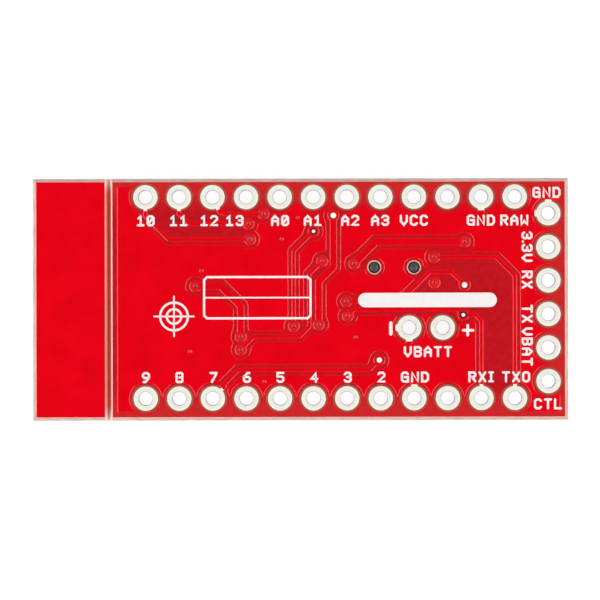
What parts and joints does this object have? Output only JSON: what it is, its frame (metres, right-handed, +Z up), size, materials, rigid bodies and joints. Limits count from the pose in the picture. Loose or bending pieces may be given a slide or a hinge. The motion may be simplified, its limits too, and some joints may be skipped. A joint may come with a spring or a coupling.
{
  "type": "gps module",
  "caption": "Red GPS receiver add-on board with plated pin rows, a snap-off tab, a side-entry cable socket and a slide switch, lying solder side up.",
  "frame": {"origin": "middle of the board's outline, at the level of the lowest component, on which it lies", "axes": "+Z up, out of the solder side; +X along the pin rows, from the snap-off tab to the receiver column; +Y across the board to the upper pin row"},
  "size_m": [0.0406, 0.0184, 0.0046],
  "materials": {
    "laminate": "cut glass-epoxy",
    "solder_mask": "glossy cured film",
    "solder_coat": "levelled tin solder",
    "via_copper": "plated",
    "switch_plastic": "moulded",
    "switch_steel": "stamped sheet",
    "knob_plastic": "moulded",
    "spring_bronze": "rolled strip",
    "tinned_lead": "tin plate",
    "socket_plastic": "moulded",
    "contact_gold": "plated",
    "case_epoxy": "moulded epoxy",
    "resistor_ceramic": "glazed",
    "capacitor_ceramic": "fired ceramic"
  },
  "bodies": {
    "board": {"laminate": "laminate", "solder_mask_back": "solder_mask", "solder_mask_front": "solder_mask", "header_pads_upper": "solder_coat", "header_pads_lower": "solder_coat", "column_pads": "solder_coat", "battery_pads": "solder_coat", "vias": "via_copper", "front_lands": "solder_coat", "switch_base": "switch_plastic", "switch_cover": "switch_steel", "switch_terminals": "tinned_lead", "socket_housing": "socket_plastic", "socket_contacts": "contact_gold", "socket_hold_downs": "tinned_lead", "regulator_case": "case_epoxy", "regulator_pins": "tinned_lead", "transistor_cases": "case_epoxy", "transistor_pins": "tinned_lead", "resistor_bodies": "resistor_ceramic", "resistor_ends": "tinned_lead", "capacitor_bodies": "capacitor_ceramic", "capacitor_ends": "tinned_lead"},
    "slider": {"switch_knob": "knob_plastic", "switch_springs": "spring_bronze"}
  },
  "joints": [
    {"name": "switch_slide", "type": "slide", "parent": "board", "child": "slider", "axis": [1, 0, 0], "range_m": [-0.002, 0]}
  ]
}
